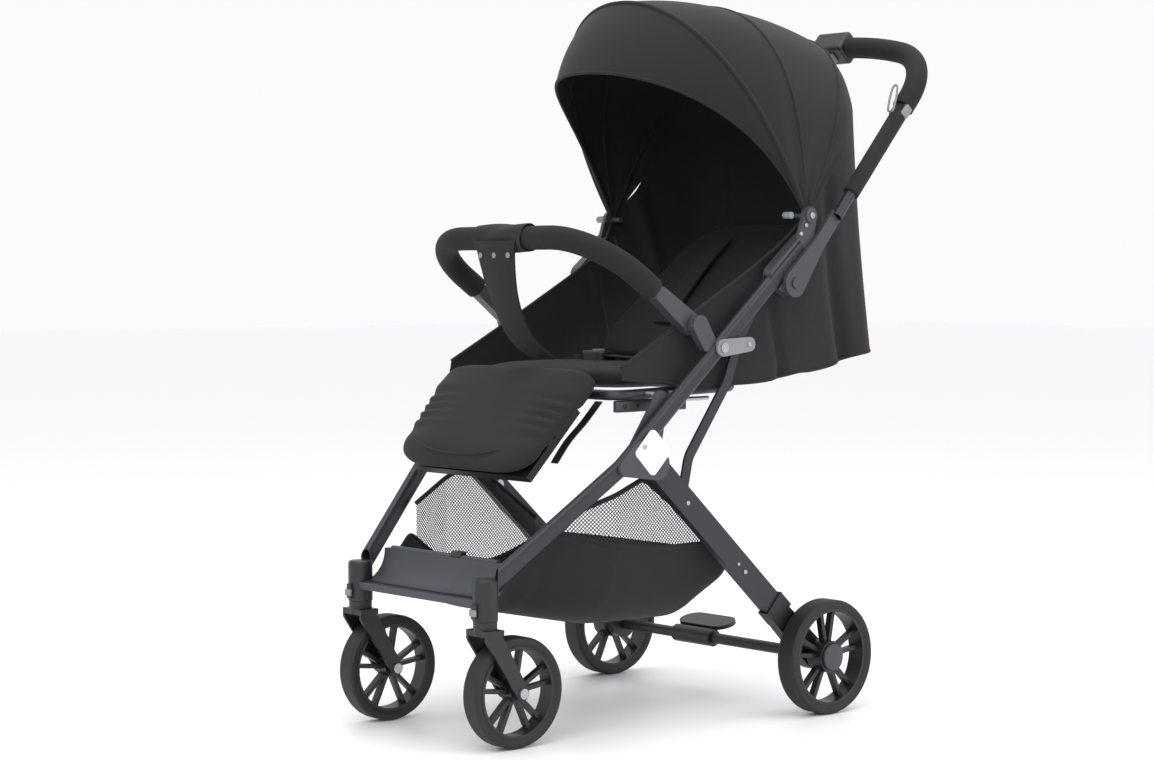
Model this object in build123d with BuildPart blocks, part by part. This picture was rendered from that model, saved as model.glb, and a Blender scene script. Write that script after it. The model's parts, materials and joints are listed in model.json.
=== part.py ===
from build123d import *
from math import atan2, cos, degrees, hypot, radians, sin
import os

# Baby stroller. X = 0 is the middle plane, +X is the child's left, -Y is the
# front, Z = 0 is the floor. Left and right pieces are mirror images.

# ---- wheels and axles ----
front_wheel_d = 148.6
front_tyre_w = 30.0
rear_wheel_d = 163.0
rear_tyre_w = 33.0
tyre_depth = 13.0
rim_band = 4.0
front_hub_r = 13.0
rear_hub_r = 23.0
rear_wheel_x = 230.7
rear_axle_y = 145.2
rear_axle_tube_r = 8.0
rear_axle_pin_r = 4.0
front_axle_r = 3.5
spoke_pairs = 5
spoke_spread = 11.0      # degrees from the middle of a pair to each spoke
spoke_w = 6.0
run = 0.06               # radial running clearance of shafts and pins

# ---- front casters ----
caster_x = 138.6
caster_y = -402.5
caster_trail = 47.0
housing_r = 17.0
housing_low = 172.8
housing_high = 228.3
stem_r = 8.0
fork_gap = 2.5           # tyre side to fork arm
fork_arm = 4.0

# ---- side frames ----
frame_x = 207.5          # middle plane of each main tube
tube_w = 15.0
tube_h = 24.0
tube_wall = 1.6
hub_y = -225.5
hub_z = 369.0
upper_slope = 41.0
upper_length = 450.0
lower_end_z = 214.0
bend_r = 60.0

# ---- rear legs ----
leg_w = 34.0
leg_t = 13.0
leg_pin_along = 44.0     # hub pin, measured along the upper tube
leg_pin_drop = 36.0      # and square to it, downwards
pin_r = 4.0
wheel_gap = 14.0         # end of the flat tube to the tyre
foot_t = 17.0
foot_gap = 2.0           # tyre side to the moulded foot

# ---- joints on the upper tube, as (along, above) ----
link_along = 238.0
bumper_along, bumper_above = 230.5, 48.0
grip_along, grip_above = 400.0, -24.0
canopy_along, canopy_above = 490.0, 24.4

# ---- strut and link ----
strut_w = 15.0
strut_t = 4.0
strut_foot_along = 84.0  # from the hub pin along the rear leg
link_reach = 49.8
plate_t = 4.0
side_gap = 0.5           # between flat pieces that swing past each other

# ---- seat ----
rail_x = 176.0
rail_r = 7.0
seat_front_y = -205.0
seat_rear_y = 20.0
rail_z = 463.0
rail_bend = 24.0
seat_pad_t = 34.0
wall_x = 175.0           # inner face of the fabric side walls
wall_y = 306.0           # fabric wall behind the backrest
wall_low_z = 517.0
back_angle = 38.0        # reclined as far as the rear wall allows
back_length = 345.0
back_pad_t = 28.0
back_pad_start = 36.0
back_half_w = 160.0
calf_slope = 46.0
calf_length = 165.0
calf_rear_half_w = 170.0
calf_front_half_w = 140.0
calf_corner = 40.0
calf_t = 34.0
knuckle_r = 11.0
soft_gap = 1.0
calf_room = 12.0         # seat pad set back so that the calf rest can rise
calf_rear = 14.0
buckle_y = -82.0
buckle_t = 14.0
buckle_button_r = 9.0
button_gap = 0.3         # press buttons in their holes
button_press = 3.0

# ---- handle ----
handle_x = 222.0
handle_r = 8.0
handle_slope = 49.0
handle_reach = 478.0
handle_bow = 50.0
handle_corner = 105.0
handle_tube_start = 125.0
grip_start = 338.0
grip_r = 16.0
grip_disc_r = 20.0
arm_t = 6.0
release_half_w = 34.0
release_r = 19.0

# ---- bumper bar ----
bumper_x = 190.0
bumper_r = 8.0
bumper_slope = 35.0
bumper_reach = 208.0
bumper_corner = 95.0
bumper_grip_start = 86.0
bumper_grip_r = 16.5
bumper_end_w = 16.0
bumper_tube_start = 28.0
button_r = 8.0

# ---- canopy: four hoops fanned about one pin, angles from the rear ----
hoop_r = 2.3
hoop_pitch = 5.0
hoop_x = 204.5
cloth = 2.0
rear_hoop_angle, rear_hoop_reach = 62.6, 303.0
mid_hoop_angle, mid_hoop_reach = 97.9, 305.0
front_hoop_angle, front_hoop_reach = 119.7, 345.0
brim_angle, brim_reach = 146.0, 338.0
rear_edge_angle, rear_edge_reach = 47.0, 285.0
cloth_margin = 1.6       # degrees from a hoop to the cloth on each side
canopy_pin_r = 4.0
eye_r = 8.0

# ---- footrest and basket ----
step_front = (-414.0, 200.0)
step_dip = (-388.0, 206.0)
step_rear = (-368.0, 244.0)
step_t = 10.0
step_end_gap = 10.0      # step end inside the caster line
basket_rings = (         # height, front y, half width there, rear y, half width from the shoulder
    (137.0, -215.0, 118.0, -38.0, 150.0),
    (200.0, -344.0, 126.0, -4.0, 172.0),
    (268.0, -346.0, 138.0, 6.0, 176.0),
)
basket_shoulder = 0.26
basket_wall = 2.0

# ---- brake ----
pedal_x = -37.0
pedal_half_w = 40.0
brake_pin_r = 3.5
brake_pin_reach = 15.5
notch_count = 12
notch_depth = 7.0

SIDES = (("left", 1), ("right", -1))


def along_upper(along, above=0.0):
    """Point (y, z) on the upper tube: along it from the bend, then square above it."""
    a = radians(upper_slope)
    return (hub_y + along * cos(a) - above * sin(a), hub_z + along * sin(a) + above * cos(a))


def toward(start, end, distance):
    """Point (y, z) at a distance from start in the direction of end."""
    span = hypot(end[0] - start[0], end[1] - start[1])
    return (start[0] + (end[0] - start[0]) * distance / span,
            start[1] + (end[1] - start[1]) * distance / span)


def polar(center, angle, reach):
    """Point (y, z) at an angle in degrees from +Y towards +Z."""
    return (center[0] + reach * cos(radians(angle)), center[1] + reach * sin(radians(angle)))


front_axle = (caster_y + caster_trail, front_wheel_d / 2)
rear_axle = (rear_axle_y, rear_wheel_d / 2)
leg_pin = along_upper(leg_pin_along, -leg_pin_drop)
link_pin = along_upper(link_along)
bumper_pin = along_upper(bumper_along, bumper_above)
grip_pin = along_upper(grip_along, grip_above)
canopy_pin = along_upper(canopy_along, canopy_above)
upper_end = along_upper(upper_length)
strut_foot = toward(leg_pin, rear_axle, strut_foot_along)
brake_at = (rear_axle[0], rear_axle[1] + brake_pin_reach)
link_end = (link_pin[0] + link_reach, link_pin[1] + 4.0)
seat_front = (seat_front_y, rail_z)
seat_rear = (seat_rear_y, rail_z + 6.0)
leg_slope = degrees(atan2(rear_axle[1] - leg_pin[1], rear_axle[0] - leg_pin[0]))
frame_in = frame_x - tube_w / 2
frame_out = frame_x + tube_w / 2


def side_plane(x):
    """Plane whose local x is +Y and local y is +Z, facing +X."""
    return Plane(origin=(x, 0, 0), x_dir=(0, 1, 0), z_dir=(1, 0, 0))


def slab(side, inner, outer):
    """Sketch plane and signed thickness for a plate between two distances from the middle."""
    return side_plane(side * inner), side * (outer - inner)


def keep(builder, name):
    """Label a finished piece and write its file."""
    builder.part.label = name
    export_step(builder.part, f"parts/{name}.step")


def disc(side, at, radius, inner, outer, mode=Mode.ADD):
    """Round plate or hole across a side frame."""
    plane, height = slab(side, inner, outer)
    with BuildSketch(plane) as outline:
        with Locations(at):
            Circle(radius)
    extrude(outline.sketch, amount=height, mode=mode)


def strap_plate(side, circles, inner, outer, mode=Mode.ADD):
    """Flat plate that wraps a set of circles, each given as ((y, z), radius)."""
    plane, height = slab(side, inner, outer)
    with BuildSketch(plane) as outline:
        for at, radius in circles:
            with Locations(at):
                Circle(radius)
        make_hull()
    extrude(outline.sketch, amount=height, mode=mode)


def bar(side, start, end, width, inner, outer, mode=Mode.ADD):
    """Straight flat bar with square ends between two points of a side frame."""
    plane, height = slab(side, inner, outer)
    angle = degrees(atan2(end[1] - start[1], end[0] - start[0]))
    middle = ((start[0] + end[0]) / 2, (start[1] + end[1]) / 2)
    with BuildSketch(plane) as outline:
        with Locations(Location((middle[0], middle[1], 0), (0, 0, angle))):
            Rectangle(hypot(end[0] - start[0], end[1] - start[1]), width)
    extrude(outline.sketch, amount=height, mode=mode)


# ---------------------------------------------------------------- frame
def main_tube(name, side):
    """Oval side tube: the long upper run, the bend at the hub and the lower run to the caster."""
    top = Vector(side * frame_x, *upper_end)
    with BuildPart() as tube:
        with BuildLine() as route:
            FilletPolyline(top, (side * frame_x, hub_y, hub_z),
                           (side * caster_x, caster_y, lower_end_z), radius=bend_r)
        with BuildSketch(Plane(origin=top, x_dir=(1, 0, 0), z_dir=route.line % 0)):
            SlotOverall(tube_h, tube_w, rotation=90)
            SlotOverall(tube_h - 2 * tube_wall, tube_w - 2 * tube_wall, rotation=90,
                        mode=Mode.SUBTRACT)
        sweep(path=route.line)
        with Locations((side * caster_x, caster_y, lower_end_z)):
            Cylinder(housing_r, 4 * tube_h, mode=Mode.SUBTRACT)
        disc(side, link_pin, pin_r, frame_in - 1, frame_out + 1, Mode.SUBTRACT)
    keep(tube, name)


def caster_housing(name, side):
    """Upright barrel that holds the caster stem, with a cap and a small front tab."""
    height = housing_high - housing_low
    with BuildPart() as barrel:
        with BuildSketch(Plane.XY.offset(housing_low)):
            with Locations((side * caster_x, caster_y)):
                Circle(housing_r)
        extrude(amount=height)
        fillet(barrel.edges().group_by(Axis.Z)[-1], radius=4)
        with BuildSketch(Plane.XY.offset(housing_low)):
            with Locations((side * caster_x, caster_y)):
                Circle(stem_r + run)
        extrude(amount=height - 4, mode=Mode.SUBTRACT)
        with Locations((side * caster_x, caster_y - housing_r, housing_low + 14)):
            Box(9, 7, 20)
        with Locations((side * caster_x, caster_y, housing_low + 14)):
            Cylinder(stem_r + run, 28, mode=Mode.SUBTRACT)
    keep(barrel, name)


def footrest_step():
    """Dished step between the caster housings: front lip, curved tread and raised rear edge."""
    half = caster_x - step_end_gap
    under_rear = (step_rear[0] + step_t, step_rear[1])
    under_dip = (step_dip[0] + step_t, step_dip[1] - step_t)
    under_front = (step_front[0], step_front[1] - step_t)
    with BuildPart() as step:
        with BuildSketch(side_plane(-half)):
            with BuildLine():
                ThreePointArc(step_front, step_dip, step_rear)
                Line(step_rear, under_rear)
                ThreePointArc(under_rear, under_dip, under_front)
                Line(under_front, step_front)
            make_face()
        extrude(amount=2 * half)
        for side in (1, -1):
            with Locations((side * caster_x, caster_y, step_front[1])):
                Cylinder(housing_r, 100, mode=Mode.SUBTRACT)
    keep(step, "footrest_step")


def hub_brackets():
    """Inner and outer plates at each hub, which carry the rear leg pin and the seat rail."""
    outer = [(leg_pin, 21), ((hub_y + 26, hub_z + 18), 17), ((hub_y, hub_z), 12)]
    inner = [(leg_pin, 19), (along_upper(118, 14), 12), (along_upper(40, -4), 10)]
    with BuildPart() as plates:
        for side in (1, -1):
            strap_plate(side, outer, frame_out, frame_out + plate_t)
            strap_plate(side, inner, frame_in - plate_t, frame_in)
            disc(side, leg_pin, pin_r, frame_in - 9, frame_out + 9, Mode.SUBTRACT)
    keep(plates, "hub_brackets")


def hub_badges():
    """Plain diamond cap on each outer hub plate."""
    center = (leg_pin[0] - 11, leg_pin[1] + 17)
    with BuildPart() as badges:
        for side in (1, -1):
            plane, height = slab(side, frame_out + plate_t, frame_out + plate_t + 2.5)
            with BuildSketch(plane):
                with Locations(Location((center[0], center[1], 0), (0, 0, 45))):
                    RectangleRounded(47, 47, 7)
            extrude(amount=height)
            disc(side, leg_pin, pin_r + 5, frame_out + plate_t, frame_out + plate_t + 1.5,
                 Mode.SUBTRACT)
    keep(badges, "hub_badges")


def frame_pins():
    """Hub pins, link pins and the bolts that hold the seat rails."""
    with BuildPart() as pins:
        for side in (1, -1):
            disc(side, leg_pin, pin_r, frame_in - plate_t, frame_out + plate_t + 1)
            disc(side, link_pin, pin_r, frame_in - 2, frame_out + side_gap + plate_t + 1)
            disc(side, link_pin, pin_r + 3, frame_in - 2, frame_in)
            disc(side, link_pin, pin_r + 3, frame_out + side_gap + plate_t,
                 frame_out + side_gap + plate_t + 2)
            for shift in (-26, 16):
                bolt_at = (along_upper(126)[0] + shift, rail_z + 1)
                disc(side, bolt_at, 3.5, rail_x + rail_r, frame_in - plate_t)
    keep(pins, "frame_pins")


def top_joints():
    """Housings at the tops of the main tubes, with the canopy pins and the handle pins."""
    thin_in = hoop_x + eye_r / 2
    with BuildPart() as joints:
        for side in (1, -1):
            strap_plate(side, [(along_upper(upper_length - 62), 18), (along_upper(upper_length + 6), 16),
                               (grip_pin, 19)], frame_in - 1, frame_out)
            strap_plate(side, [(along_upper(upper_length + 4), 15), (canopy_pin, 13)],
                        thin_in, frame_out)
            bar(side, along_upper(upper_length - 120), upper_end, tube_h,
                frame_in, frame_out, Mode.SUBTRACT)
            disc(side, canopy_pin, canopy_pin_r, hoop_x - 3.5 * hoop_pitch, frame_out)
            disc(side, grip_pin, pin_r, frame_out, frame_out + side_gap + arm_t + 1)
            disc(side, grip_pin, pin_r + 4, frame_out + side_gap + arm_t + 0.5,
                 frame_out + side_gap + arm_t + 2.5)
    keep(joints, "top_joints")


def seat_frame_tube():
    """Closed loop of round tube under the seat."""
    with BuildPart() as loop:
        with BuildLine() as route:
            FilletPolyline((rail_x, *seat_front), (rail_x, *seat_rear), (-rail_x, *seat_rear),
                           (-rail_x, *seat_front), close=True, radius=rail_bend)
        with BuildSketch(Plane(origin=route.line @ 0, z_dir=route.line % 0)):
            Circle(rail_r)
            Circle(rail_r - tube_wall, mode=Mode.SUBTRACT)
        sweep(path=route.line)
    keep(loop, "seat_frame_tube")


def bumper_sockets():
    """Blocks on the main tubes with the pins that the bumper bar turns on."""
    foot = along_upper(bumper_along - 4, tube_h / 2 + 7)
    with BuildPart() as blocks:
        for side in (1, -1):
            strap_plate(side, [(bumper_pin, 14), (foot, 13)], frame_in, frame_out - 3)
            bar(side, along_upper(100), along_upper(350), tube_h, frame_in - 1, frame_out,
                Mode.SUBTRACT)
            disc(side, bumper_pin, pin_r + 1, bumper_x - 1, frame_in)
    keep(blocks, "bumper_sockets")


def basket():
    """Open fabric basket under the seat, narrower towards the footrest and deepest at the rear."""
    with BuildPart() as bag:
        for z, front_y, front_half, rear_y, half in basket_rings:
            shoulder_y = front_y + (rear_y - front_y) * basket_shoulder
            with BuildSketch(Plane.XY.offset(z)):
                with BuildLine():
                    Polyline((-front_half, front_y), (front_half, front_y), (half, shoulder_y),
                             (half, rear_y), (-half, rear_y), (-half, shoulder_y), close=True)
                make_face()
        loft(ruled=True)
        offset(amount=-basket_wall, openings=bag.faces().sort_by(Axis.Z)[-1], kind=Kind.INTERSECTION)
    keep(bag, "basket")


def seat_pad():
    """Cushion that lies inside the seat loop."""
    half = rail_x - rail_r - soft_gap
    length = seat_rear[0] - seat_front[0] - 2 * (knuckle_r + soft_gap) - calf_room
    middle = (seat_rear[0] + seat_front[0] + calf_room) / 2
    with BuildPart() as pad:
        with BuildSketch(Plane.XY.offset(rail_z + knuckle_r - 6)):
            with Locations((0, middle)):
                RectangleRounded(2 * half, length, 24)
        extrude(amount=seat_pad_t)
        fillet(pad.edges().group_by(Axis.Z)[-1], radius=9)
    keep(pad, "seat_pad")


def seat_enclosure():
    """Fabric walls at both sides of the seat and behind the backrest."""
    rear_low = (wall_y, wall_low_z)
    rear_mid = (wall_y, 760)
    rear_top = (wall_y - 17, 862)
    bottom = [(-200, 474), (-59, 478), (58, 481), (139, 487)]
    top = [(canopy_pin[0] + 20, canopy_pin[1] + 14), (76, 655), (-50, 583), (-200, 502)]
    with BuildPart() as walls:
        for side in (1, -1):
            plane, height = slab(side, wall_x, wall_x + cloth)
            with BuildSketch(plane):
                with BuildLine():
                    Polyline(*bottom, rear_low, rear_mid, rear_top, *top, close=True)
                make_face()
            extrude(amount=height)
        with BuildSketch(side_plane(-wall_x)):
            with BuildLine():
                Polyline(rear_low, rear_mid, rear_top, (rear_top[0] - cloth, rear_top[1]),
                         (rear_mid[0] - cloth, rear_mid[1]), (rear_low[0] - cloth, rear_low[1]),
                         close=True)
            make_face()
        extrude(amount=2 * wall_x)
    keep(walls, "seat_enclosure")


def buckle():
    """Harness buckle that stands on the seat pad, with a round press button hole."""
    top = rail_z + knuckle_r - 6 + seat_pad_t + soft_gap
    with BuildPart() as body:
        with BuildSketch(Plane.XY.offset(top)):
            with Locations((0, buckle_y)):
                RectangleRounded(46, 34, 10)
        extrude(amount=buckle_t)
        fillet(body.edges().group_by(Axis.Z)[-1], radius=3)
        with BuildSketch(Plane.XY.offset(top + buckle_t / 2)):
            with Locations((0, buckle_y)):
                Circle(buckle_button_r + button_gap)
        extrude(amount=10, mode=Mode.SUBTRACT)
    keep(body, "buckle")
    with BuildPart() as button:
        with BuildSketch(Plane.XY.offset(top + buckle_t / 2 + button_press)):
            with Locations((0, buckle_y)):
                Circle(buckle_button_r)
        extrude(amount=6)
    keep(button, "buckle_button")



# ---------------------------------------------------------------- rear legs
def rear_leg(name, side):
    """Flat rear tube from the hub pin down to just above the wheel."""
    reach = hypot(rear_axle[0] - leg_pin[0], rear_axle[1] - leg_pin[1])
    end = toward(leg_pin, rear_axle, reach - rear_wheel_d / 2 - wheel_gap)
    inner = frame_x - leg_t / 2
    with BuildPart() as leg:
        bar(side, leg_pin, end, leg_w, inner, inner + leg_t)
        disc(side, leg_pin, leg_w / 2, inner, inner + leg_t)
        bar(side, toward(leg_pin, end, leg_w / 2), toward(leg_pin, end, 900), leg_w - 2 * tube_wall,
            inner + tube_wall, inner + leg_t - tube_wall, Mode.SUBTRACT)
        disc(side, leg_pin, pin_r + run, inner - 1, inner + leg_t + 1, Mode.SUBTRACT)
        disc(side, strut_foot, pin_r, inner - 1, inner + tube_wall, Mode.SUBTRACT)
    keep(leg, name)


def axle_foot(name, side):
    """Moulded foot: a sleeve on the leg's end and an arm down to the axle."""
    reach = hypot(rear_axle[0] - leg_pin[0], rear_axle[1] - leg_pin[1])
    leg_end = reach - rear_wheel_d / 2 - wheel_gap
    inner = frame_x - leg_t / 2
    upper = toward(leg_pin, rear_axle, leg_end - 26)
    lower = toward(leg_pin, rear_axle, leg_end + 2)
    arm_in = rear_wheel_x - rear_tyre_w / 2 - foot_gap - foot_t
    with BuildPart() as foot:
        bar(side, upper, lower, leg_w + 6, inner - 3, inner + leg_t + 3)
        strap_plate(side, [(toward(leg_pin, rear_axle, leg_end - 8), 17), (rear_axle, 21)],
                    arm_in, arm_in + foot_t)
        bar(side, toward(leg_pin, rear_axle, leg_end - 60), toward(leg_pin, rear_axle, leg_end),
            leg_w, inner, inner + leg_t, Mode.SUBTRACT)
        disc(side, rear_axle, rear_axle_pin_r + 2, arm_in - 1, arm_in + foot_t + 1, Mode.SUBTRACT)
        disc(side, brake_at, brake_pin_r + run, arm_in - 1, arm_in + foot_t + 1, Mode.SUBTRACT)
    keep(foot, name)


def rear_axle_tube():
    """Cross tube between the feet with a turned pin for each wheel."""
    arm_in = rear_wheel_x - rear_tyre_w / 2 - foot_gap - foot_t
    wheel_out = rear_wheel_x + rear_tyre_w / 2
    with BuildPart() as axle:
        with BuildSketch(side_plane(-arm_in)):
            with Locations(rear_axle):
                Circle(rear_axle_tube_r)
        extrude(amount=2 * arm_in)
        for side in (1, -1):
            disc(side, rear_axle, rear_axle_pin_r + 2, arm_in, arm_in + foot_t)
            disc(side, rear_axle, rear_axle_pin_r, arm_in + foot_t, wheel_out - 6)
            disc(side, rear_axle, rear_axle_pin_r + 3, wheel_out - 7.7, wheel_out - 5.5)
    keep(axle, "rear_axle_tube")


def struts():
    """Curved flat struts from the rear legs up beside the main tubes."""
    a = strut_foot
    outer = frame_in - side_gap
    points = [(a[0], a[1]), (a[0] + 14, a[1] + 62), (link_end[0] - 24, link_end[1] - 53),
              (link_end[0] - 1, link_end[1] + 6), (link_end[0] + 34, link_end[1] + 59)]
    with BuildPart() as pair:
        for side in (1, -1):
            x = side * (outer - strut_t / 2)
            with BuildLine() as route:
                FilletPolyline(*[(x, *p) for p in points], radius=40)
            with BuildSketch(Plane(origin=route.line @ 0, x_dir=(1, 0, 0), z_dir=route.line % 0)):
                Rectangle(strut_t, strut_w)
            sweep(path=route.line)
            for end in (points[0], points[-1]):
                disc(side, end, strut_w / 2 + 1, outer - strut_t, outer)
            disc(side, strut_foot, pin_r + run, outer - strut_t - 1, outer + 1, Mode.SUBTRACT)
    keep(pair, "struts")


def strut_pins():
    """Pins through the rear legs that the struts turn on."""
    inner = frame_x - leg_t / 2
    with BuildPart() as pins:
        for side in (1, -1):
            strut_in = frame_in - side_gap - strut_t
            disc(side, strut_foot, pin_r, strut_in - side_gap, inner + tube_wall)
            disc(side, strut_foot, pin_r + 3, strut_in - side_gap - 2, strut_in - side_gap)
    keep(pins, "strut_pins")


def link_clips():
    """Short grey links from the main tubes to the struts."""
    low = frame_out + side_gap
    strut_out = frame_in - side_gap
    with BuildPart() as pair:
        for side in (1, -1):
            strap_plate(side, [(link_pin, 12), (link_end, 10)], low, low + plate_t)
            disc(side, link_end, 6, strut_out + side_gap, low)
            disc(side, link_pin, pin_r + run, low - 1, low + plate_t + 1, Mode.SUBTRACT)
    keep(pair, "link_clips")


# ---------------------------------------------------------------- handle
def handle_frame_point(x, along):
    """Point on the plane of the handle, measured from its hinge."""
    y, z = polar(grip_pin, handle_slope, along)
    return (x, y, z)


def handle_plane():
    """Plane of the handle: local x is +X, local y runs away from the hinge."""
    a = radians(handle_slope)
    return Plane(origin=(0, *grip_pin), x_dir=(1, 0, 0), z_dir=(0, -sin(a), cos(a)))


def handle_route(start):
    """Edges of the handle's centre line from one side over the crossbar to the other."""
    corner = handle_reach - handle_bow
    with BuildLine(handle_plane()) as route:
        Line((handle_x, start), (handle_x, corner))
        ThreePointArc((handle_x, corner), (0, handle_reach), (-handle_x, corner))
        Line((-handle_x, corner), (-handle_x, start))
        fillet([v for v in route.vertices() if abs(abs(v.X) - handle_x) < 0.01
                and v.Z > handle_frame_point(0, corner - 1)[2]], radius=handle_corner)
    return route.line


def handle_tube():
    """Bent round tube of the handle."""
    route = handle_route(handle_tube_start)
    with BuildPart() as tube:
        with BuildSketch(Plane(origin=route @ 0, z_dir=route % 0)):
            Circle(handle_r)
            Circle(handle_r - tube_wall, mode=Mode.SUBTRACT)
        sweep(path=route)
    keep(tube, "handle_tube")


def handle_grip():
    """Foam sleeve over the corners and the crossbar, cut away at the release housing."""
    route = handle_route(grip_start)
    with BuildPart() as grip:
        with BuildSketch(Plane(origin=route @ 0, z_dir=route % 0)):
            Circle(grip_r)
            Circle(handle_r, mode=Mode.SUBTRACT)
        sweep(path=route)
        with Locations(Location(handle_frame_point(0, handle_reach), (handle_slope, 0, 0))):
            Box(2 * release_half_w, 60, 60, mode=Mode.SUBTRACT)
    keep(grip, "handle_grip")


def housing_cut(route):
    """Remove the room that the handle tube takes in the housing."""
    with BuildSketch(Plane(origin=route @ 0, z_dir=route % 0)) as section:
        Circle(handle_r)
    sweep(section.sketch, path=route, mode=Mode.SUBTRACT)


def release_housing():
    """Split housing at the middle of the handle, with a hole for the fold button."""
    middle = handle_frame_point(0, handle_reach)
    tilt = Location(middle, (handle_slope, 0, 0))
    with BuildPart() as housing:
        with Locations(tilt):
            Box(2 * release_half_w - 1, 2 * release_r, 2 * release_r)
        fillet(housing.edges(), radius=6)
        with Locations(tilt):
            Box(26.6, 60, 16.6, align=(Align.CENTER, Align.MAX, Align.CENTER), mode=Mode.SUBTRACT)
        housing_cut(handle_route(handle_tube_start))
    keep(housing, "release_housing")
    with BuildPart() as button:
        with Locations(Location(handle_frame_point(0, handle_reach - handle_r - 3.5),
                                (handle_slope, 0, 0))):
            Box(26, release_r - handle_r + 1, 16, align=(Align.CENTER, Align.MAX, Align.CENTER))
    keep(button, "release_button")


def handle_discs():
    """Hinge discs and flat arms that join the handle tube to the top joints."""
    low = frame_out + side_gap
    end = polar(grip_pin, handle_slope, handle_tube_start)
    with BuildPart() as discs:
        for side in (1, -1):
            strap_plate(side, [(grip_pin, grip_disc_r), (polar(grip_pin, handle_slope, 70), 11)],
                        low, low + arm_t)
            strap_plate(side, [(polar(grip_pin, handle_slope, 60), 11), (end, 10)], low, low + arm_t)
            disc(side, grip_pin, pin_r + run, low - 1, low + arm_t + 1, Mode.SUBTRACT)
            with BuildSketch(Plane(origin=(side * handle_x, *end),
                                   z_dir=(0, cos(radians(handle_slope)), sin(radians(handle_slope))))):
                Circle(handle_r)
            extrude(amount=30, mode=Mode.SUBTRACT)
    keep(discs, "handle_discs")


# ---------------------------------------------------------------- bumper bar
def bumper_plane():
    """Plane of the bumper bar, local y pointing forward and up."""
    a = radians(bumper_slope)
    return Plane(origin=(0, *bumper_pin), x_dir=(-1, 0, 0), z_dir=(0, sin(a), cos(a)))


def bumper_route(start):
    """Centre line of the bumper bar."""
    with BuildLine(bumper_plane()) as route:
        FilletPolyline((bumper_x, start), (bumper_x, bumper_reach), (-bumper_x, bumper_reach),
                       (-bumper_x, start), radius=bumper_corner)
    return route.line


def bumper_bar():
    """Bent tube, foam sleeve and the plastic ends that turn on the sockets."""
    for name, outer_r, inner_r, start in (("bumper_tube", bumper_r, bumper_r - tube_wall,
                                           bumper_tube_start),
                                          ("bumper_foam", bumper_grip_r, bumper_r, bumper_grip_start)):
        route = bumper_route(start)
        with BuildPart() as piece:
            with BuildSketch(Plane(origin=route @ 0, z_dir=route % 0)):
                Circle(outer_r)
                Circle(inner_r, mode=Mode.SUBTRACT)
            sweep(path=route)
        keep(piece, name)
    half = bumper_end_w / 2
    tip = polar(bumper_pin, 180 - bumper_slope, bumper_grip_start - 12)
    with BuildPart() as ends:
        for side in (1, -1):
            strap_plate(side, [(bumper_pin, 15), (tip, 11)], bumper_x - half - 1, bumper_x + half + 1)
            disc(side, bumper_pin, pin_r + 1 + run, bumper_x - half - 2, bumper_x + half + 2,
                 Mode.SUBTRACT)
            disc(side, bumper_pin, button_r + button_gap, bumper_x - half - 2, bumper_x - 1.5, Mode.SUBTRACT)
        route = bumper_route(bumper_tube_start)
        with BuildSketch(Plane(origin=route @ 0, z_dir=route % 0)):
            Circle(bumper_r)
        sweep(path=route, mode=Mode.SUBTRACT)
    keep(ends, "bumper_ends")


def bumper_button(name, side):
    """Press button in the inner face of each bumper end."""
    with BuildPart() as button:
        disc(side, bumper_pin, button_r, bumper_x - bumper_end_w / 2 - 4, bumper_x - 5)
    keep(button, name)


# ---------------------------------------------------------------- calf rest and backrest
def make_hull_to_board():
    """Extend a knuckle's circle to the board."""
    with Locations(polar(seat_front, 180 + calf_slope - 3, 40)):
        Circle(4)
    make_hull()


def calf_rest():
    """Padded calf rest on knuckles that turn on the front of the seat loop."""
    a = radians(calf_slope)
    face = Plane(origin=(0, *seat_front), x_dir=(1, 0, 0), z_dir=(0, -sin(a), cos(a)))
    with BuildPart() as pad:
        with BuildSketch(face.offset(rail_r + 4)):
            with BuildLine():
                front = -calf_length
                FilletPolyline((-calf_rear_half_w, calf_rear), (calf_rear_half_w, calf_rear),
                               (calf_front_half_w, front), (-calf_front_half_w, front),
                               close=True, radius=calf_corner)
            make_face()
        extrude(amount=calf_t)
        fillet(pad.faces().sort_by(Axis(face.origin, face.z_dir))[-1].edges(), radius=9)
    keep(pad, "calf_pad")
    with BuildPart() as board:
        with BuildSketch(face.offset(-2)):
            with Locations((0, -calf_length / 2 - 12)):
                Rectangle(2 * calf_front_half_w - 30, calf_length - 40)
        extrude(amount=rail_r + 4)
        for x in (-90, 90):
            with BuildSketch(side_plane(x - 18)):
                with Locations(seat_front):
                    Circle(knuckle_r)
                make_hull_to_board()
            extrude(amount=36)
        with BuildSketch(side_plane(-200)):
            with Locations(seat_front):
                Circle(rail_r + run)
        extrude(amount=400, mode=Mode.SUBTRACT)
    keep(board, "calf_board")


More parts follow.
